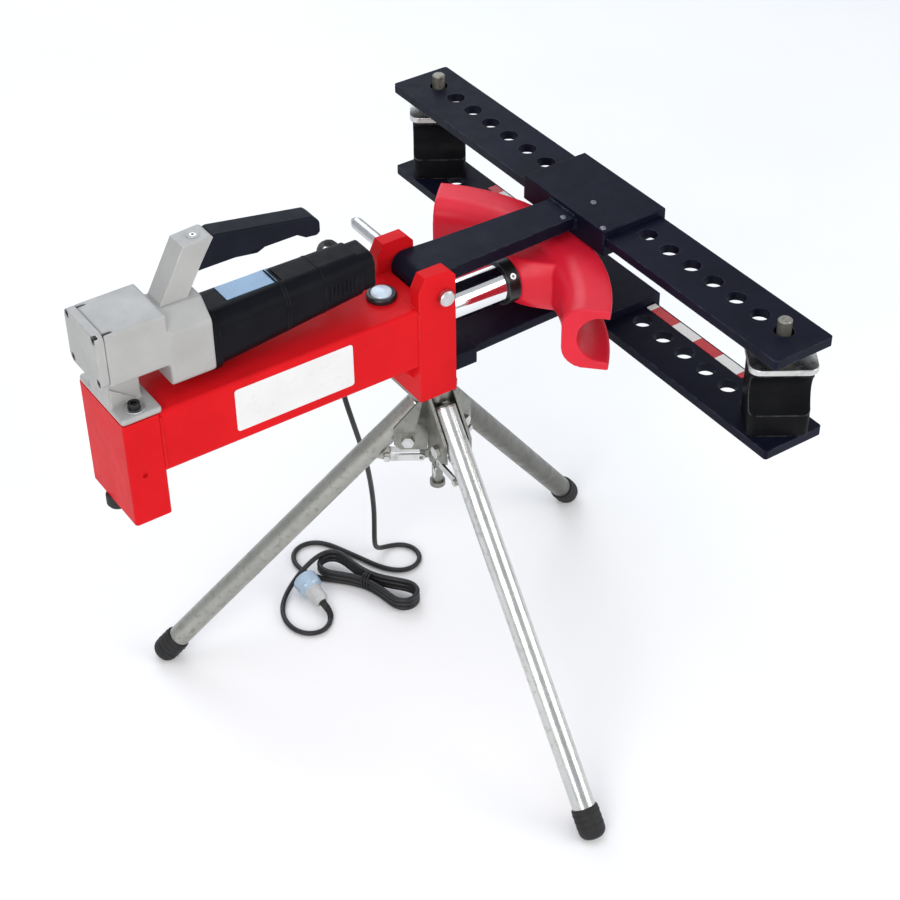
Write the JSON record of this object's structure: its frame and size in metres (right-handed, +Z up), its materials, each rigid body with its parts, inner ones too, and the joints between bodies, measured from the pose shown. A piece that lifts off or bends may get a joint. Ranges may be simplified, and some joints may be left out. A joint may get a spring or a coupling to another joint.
{
  "type": "hydraulic pipe bender",
  "caption": "Electro-hydraulic pipe bender on a folding tripod, with twin drilled wing plates, a ram-driven curved former, turning pipe supports and a hand-held motor drive.",
  "frame": {"origin": "centre of the machine's box without its cord, on the floor plane that the three feet stand on", "axes": "+X along the ram, from the motor end towards the wings; +Y across the wings, away from the picture's near side; +Z up"},
  "size_m": [0.8045, 0.8031, 0.792],
  "materials": {
    "red_paint": "gloss enamel",
    "frame_paint": "semi-gloss blue-black enamel",
    "marker_tape": "red and white blocks, glossy tape",
    "cast_aluminium": "cast, fine matt grain",
    "motor_plastic": "moulded, satin",
    "grip_plastic": "moulded, fine grain",
    "label_blue": "bare printed foil",
    "plate_white": "bare plate",
    "cap_plastic": "moulded, gloss",
    "ring_plastic": "moulded",
    "black_steel": "blackened steel",
    "bright_steel": "turned",
    "pin_steel": "plain steel, handled",
    "zinc": "zinc plated",
    "chrome": "hard chrome, polished",
    "bronze": "plain",
    "rubber": "moulded",
    "cord_rubber": "smooth cord sheath",
    "plug_plastic": "moulded, grey"
  },
  "bodies": {
    "frame": {"tank_body": "red_paint", "rear_leg": "red_paint", "rear_bumper": "rubber", "head_block": "red_paint", "lower_arm": "frame_paint", "lower_wing": "frame_paint", "marker_strips": "marker_tape", "cylinder_tube": "bright_steel", "rod_gland": "bronze", "gearbox_housing": "cast_aluminium", "gearbox_cover": "cast_aluminium", "gearbox_screws": "black_steel", "handle_neck": "cast_aluminium", "neck_screw": "bright_steel", "grip": "grip_plastic", "motor_housing": "motor_plastic", "motor_end_cap": "motor_plastic", "motor_label": "label_blue", "name_plate": "plate_white", "stator": "bronze", "motor_bearings": "bright_steel", "filler_ring": "ring_plastic", "pump_block": "bright_steel", "tripod_head": "zinc", "leg_bolts": "zinc", "cord_gland": "cord_rubber", "cord_drop": "cord_rubber", "cord_hank": "cord_rubber", "cord_tail": "cord_rubber", "plug": "plug_plastic"},
    "upper_frame": {"upper_arm": "frame_paint", "upper_sleeve": "frame_paint", "upper_wing": "frame_paint", "sleeve_rivets": "bright_steel"},
    "hinge_pin": {"frame_pin": "bright_steel"},
    "ram": {"ram_rod": "chrome", "piston": "bright_steel", "ram_collar": "black_steel", "collar_screw": "bright_steel"},
    "bend_former": {"former": "red_paint"},
    "support_left": {"saddle_left": "black_steel", "flange_left": "zinc", "support_pin_left": "pin_steel"},
    "support_right": {"saddle_right": "black_steel", "flange_right": "zinc", "support_pin_right": "pin_steel"},
    "oil_cap": {"filler_cap": "cap_plastic"},
    "switch_trigger": {"trigger": "motor_plastic"},
    "motor_rotor": {"armature": "bright_steel"},
    "gear_wheel": {"reduction_gear": "bright_steel"},
    "tripod_leg_left": {"leg_left": "zinc", "foot_left": "rubber"},
    "tripod_leg_front": {"leg_front": "zinc", "foot_front": "rubber"},
    "tripod_leg_back": {"leg_back": "zinc", "foot_back": "rubber"},
    "link_left": {"brace_left": "zinc"},
    "link_front": {"brace_front": "zinc"},
    "link_back": {"brace_back": "zinc"},
    "post_collar": {"slider_collar": "zinc"}
  },
  "joints": [
    {"name": "ram_stroke", "type": "slide", "parent": "frame", "child": "ram", "axis": [1, 0, 0], "range_m": [0, 0.2]},
    {"name": "former_off", "type": "slide", "parent": "ram", "child": "bend_former", "axis": [1, 0, 0], "range_m": [0, 0.06]},
    {"name": "upper_frame_swing", "type": "hinge", "parent": "frame", "child": "upper_frame", "pos_m": [0.0312, 0.0052, 0.627], "axis": [0, -1, 0], "range_deg": [0, 95]},
    {"name": "hinge_pin_pull", "type": "slide", "parent": "frame", "child": "hinge_pin", "axis": [0, -1, 0], "range_m": [0, 0.21]},
    {"name": "support_left_turn", "type": "hinge", "parent": "frame", "child": "support_left", "pos_m": [0.2947, 0.3552, 0.572], "axis": [0, 0, 1], "continuous": true},
    {"name": "support_right_turn", "type": "hinge", "parent": "frame", "child": "support_right", "pos_m": [0.2947, -0.3448, 0.572], "axis": [0, 0, 1], "continuous": true},
    {"name": "oil_cap_turn", "type": "hinge", "parent": "frame", "child": "oil_cap", "pos_m": [-0.0253, 0.0012, 0.627], "axis": [0, 0, 1], "continuous": true},
    {"name": "trigger_squeeze", "type": "hinge", "parent": "frame", "child": "switch_trigger", "pos_m": [-0.2313, 0.0052, 0.76], "axis": [0, -1, 0], "range_deg": [0, 7], "stiffness_Nm_per_rad": 2, "springref_deg": -2.86},
    {"name": "motor_spin", "type": "hinge", "parent": "frame", "child": "motor_rotor", "pos_m": [-0.1853, 0.0052, 0.664], "axis": [1, 0, 0], "continuous": true},
    {"name": "gear_spin", "type": "hinge", "parent": "frame", "child": "gear_wheel", "pos_m": [-0.3103, 0.0052, 0.6844], "axis": [1, 0, 0], "continuous": true},
    {"name": "leg_left_fold", "type": "hinge", "parent": "frame", "child": "tripod_leg_left", "pos_m": [0.01435, 0.01383, 0.392], "axis": [-0.5592, -0.829, 0], "range_deg": [0, 39]},
    {"name": "link_left_swing", "type": "hinge", "parent": "tripod_leg_left", "child": "link_left", "pos_m": [-0.00886, 0.02949, 0.357], "axis": [-0.5592, -0.829, 0], "range_deg": [0, 30]},
    {"name": "leg_front_fold", "type": "hinge", "parent": "frame", "child": "tripod_leg_front", "pos_m": [0.04169, -0.04221, 0.392], "axis": [0.9976, -0.0698, 0], "range_deg": [0, 39]},
    {"name": "link_front_swing", "type": "hinge", "parent": "tripod_leg_front", "child": "link_front", "pos_m": [0.03974, -0.07014, 0.357], "axis": [0.9976, -0.0698, 0], "range_deg": [0, 30]},
    {"name": "leg_back_fold", "type": "hinge", "parent": "frame", "child": "tripod_leg_back", "pos_m": [0.07656, 0.00948, 0.392], "axis": [-0.4384, 0.8988, 0], "range_deg": [0, 39]},
    {"name": "link_back_swing", "type": "hinge", "parent": "tripod_leg_back", "child": "link_back", "pos_m": [0.10172, 0.02176, 0.357], "axis": [-0.4384, 0.8988, 0], "range_deg": [0, 30]},
    {"name": "collar_rise", "type": "slide", "parent": "frame", "child": "post_collar", "axis": [0, 0, 1], "range_m": [0, 0.0315]}
  ],
  "couplings": [
    {"joint": "gear_spin", "follows": "motor_spin", "ratio": -0.33333},
    {"joint": "leg_front_fold", "follows": "leg_left_fold", "ratio": 1},
    {"joint": "leg_back_fold", "follows": "leg_left_fold", "ratio": 1},
    {"joint": "link_left_swing", "follows": "leg_left_fold", "ratio": 0.752},
    {"joint": "link_front_swing", "follows": "leg_left_fold", "ratio": 0.752},
    {"joint": "link_back_swing", "follows": "leg_left_fold", "ratio": 0.752},
    {"joint": "collar_rise", "follows": "leg_left_fold", "m_per_rad": 0.0452}
  ]
}
